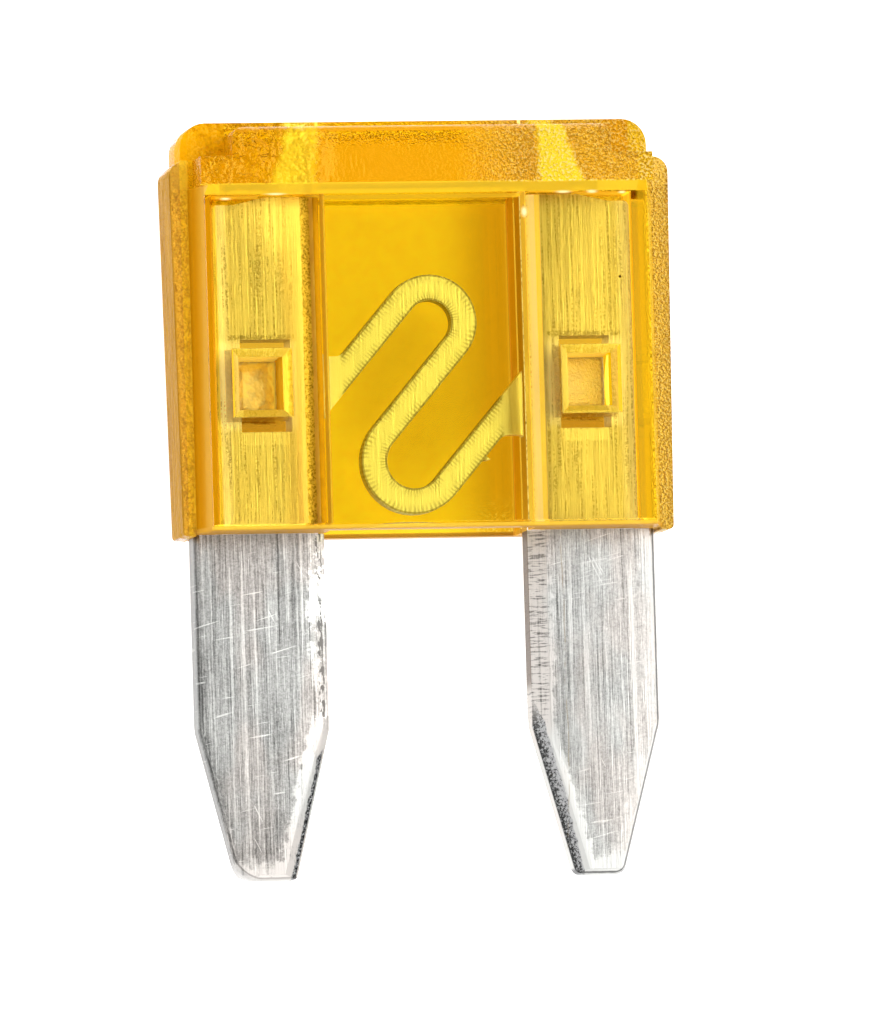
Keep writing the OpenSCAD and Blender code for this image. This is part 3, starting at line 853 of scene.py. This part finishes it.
# Painted light along the outer edge, round the pockets and on the right bevel.
painted_light = zinc.band(side, LIT_FROM, LIT_TO, 0.1) * 0.3 + round_pocket * 0.3
painted_light = painted_light + bevel * right_blade * (1 - shaded_side) * 0.4
bump = zinc.node("Bump", None, {
    "Strength": 0.5, "Distance": BRUSH_DEPTH, "Height": brush * 1.6 + fine * 0.8})
metal = zinc.node("BsdfPrincipled", None, {
    "Base Color": tone, "Roughness": 0.42, "Metallic": 1 - bevel * right_blade * 0.8,
    "Normal": bump,
    "Emission Color": zinc.coats(DARK, (painted_light * inside, tone)), "Emission Strength": 1.0,
})
zinc.made.cycles.emission_sampling = "NONE"
strip.data.materials.clear()
strip.data.materials.append(zinc.finish("OutputMaterial", {"Surface": metal}))

# %% [markdown]
# ## Floor
# Small parts are shown on plain white. A curved backdrop would do as well, but the camera
# looks almost straight down and never sees its bend. So the floor is one large plane. It
# gives a little light of its own, so that the clear plastic is lit from below as well, and
# it lies a hair below the fuse, because two faces in one place flicker.

# %% The pale floor
FLOOR_SIZE, FLOOR_GAP = 3000, 0.03

bpy.ops.object.select_all(action="DESELECT")
bpy.ops.mesh.primitive_plane_add(size=FLOOR_SIZE * MM, location=(0, 0, -FLOOR_GAP * MM))
bpy.ops.object.transform_apply(location=True, rotation=True, scale=True)
floor = bpy.context.object
floor.name = "floor"
pale = Paint("pale_floor")
body = pale.node("BsdfPrincipled", None, {
    "Base Color": (0.9, 0.9, 0.9, 1.0), "Roughness": 0.6, "Specular IOR Level": 0.1,
    "Emission Color": (1.0, 1.0, 1.0, 1.0), "Emission Strength": 0.8})
floor.data.materials.append(pale.finish("OutputMaterial", {"Surface": body}))
floor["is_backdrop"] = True

# %% [markdown]
# ## Camera
# The camera looks down on the lying fuse from slightly left of it and slightly from its
# tips. It stands 35 cm away with a long lens, so that the blades stay nearly parallel. It
# could be made to track an empty, but a roll is hard to hold that way, so its three axes are
# worked out from the angles and put straight into its matrix.

# %% The camera
TURN, TIP, ROLL = math.radians(10.3), math.radians(4.5), math.radians(1.68)
DISTANCE, VIEW_HEIGHT = 350 * MM, 22.14 * MM
AIM_RIGHT, AIM_UP = 0.255 * MM, 0.456 * MM

back = Vector((-math.sin(TURN) * math.cos(TIP), -math.sin(TIP), math.cos(TURN) * math.cos(TIP)))
up = (Vector((0, 1, 0)) - back * back.y).normalized()
right = up.cross(back)
cam_right = right * math.cos(ROLL) - up * math.sin(ROLL)
cam_up = right * math.sin(ROLL) + up * math.cos(ROLL)
aim = Vector((0, underside, middle)) + cam_right * AIM_RIGHT + cam_up * AIM_UP
camera = bpy.data.objects.new("camera", bpy.data.cameras.new("camera"))
scene.collection.objects.link(camera)
camera.data.lens = camera.data.sensor_width * DISTANCE / VIEW_HEIGHT
axes = Matrix((cam_right, cam_up, back)).transposed().to_4x4()
camera.matrix_world = Matrix.Translation(aim + back * DISTANCE) @ axes
scene.camera = camera
print("camera lens", round(camera.data.lens), "mm")

# %% [markdown]
# ## Light
# An image of a studio could light the scene, but then it would need a file. So four soft
# boxes stand round the fuse, the strongest to the right. The metal shows them as smooth
# bright reflections, and the clear plastic gets its glow from the floor. Each box is given
# by the side that it stands on and by how far it leans from straight above.

# %% Soft boxes
LIGHT_REACH = 0.45


def soft_box(name, towards, lean, size, strength):
    """A square soft box that leans from straight above towards a side, both in degrees."""
    lean, towards = math.radians(lean), math.radians(towards)
    place = LIGHT_REACH * Vector((
        math.sin(lean) * math.cos(towards), math.sin(lean) * math.sin(towards), math.cos(lean)))
    light = bpy.data.lights.new(name, "AREA")
    light.shape = "SQUARE"
    light.size = size
    light.energy = strength * math.pi * LIGHT_REACH ** 2 / math.cos(lean)
    lamp = bpy.data.objects.new(name, light)
    scene.collection.objects.link(lamp)
    lamp.location = place
    lamp.rotation_euler = (place - centre).to_track_quat("Z", "Y").to_euler()
    print(name, round(light.energy, 2), "W")


soft_box("right_light", towards=5, lean=36, size=0.32, strength=2.2)
soft_box("left_light", towards=170, lean=48, size=0.4, strength=0.7)
soft_box("head_light", towards=80, lean=50, size=0.4, strength=0.7)
soft_box("tip_light", towards=260, lean=52, size=0.4, strength=0.5)

# %% [markdown]
# The room itself is even white, but dim straight overhead. The blades lie flat and mirror
# that part of the room, so a bright ceiling would turn them flat white.

# %% The room
CEILING_FROM, CEILING_TO = 0.8, 0.94
WALL_LIGHT, CEILING_LIGHT = 0.5, 0.04

room = Paint("room", bpy.data.worlds)
upward = room.node(
    "SeparateXYZ", None, {"Vector": room.node("TexCoord").to("Generated")}).to("Z")
strength = room.node("MapRange", None, {
    "Value": upward, "From Min": CEILING_FROM, "From Max": CEILING_TO,
    "To Min": WALL_LIGHT, "To Max": CEILING_LIGHT})
sky = room.node("Background", None, {"Color": (1.0, 1.0, 1.0, 1.0), "Strength": strength})
scene.world = room.finish("OutputWorld", {"Surface": sky})
scene.view_settings.view_transform = "Standard"

# %% [markdown]
# ## Size of the dressed fuse
# The dressed fuse has to be as large as its solids, so both boxes are measured and the
# change between them is printed.

# %% Print the size change
visual_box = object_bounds()
change = (visual_box[1] - visual_box[0]) - (cad_box[1] - cad_box[0])
print("size change, mm:", [round(v / MM, 3) for v in change])
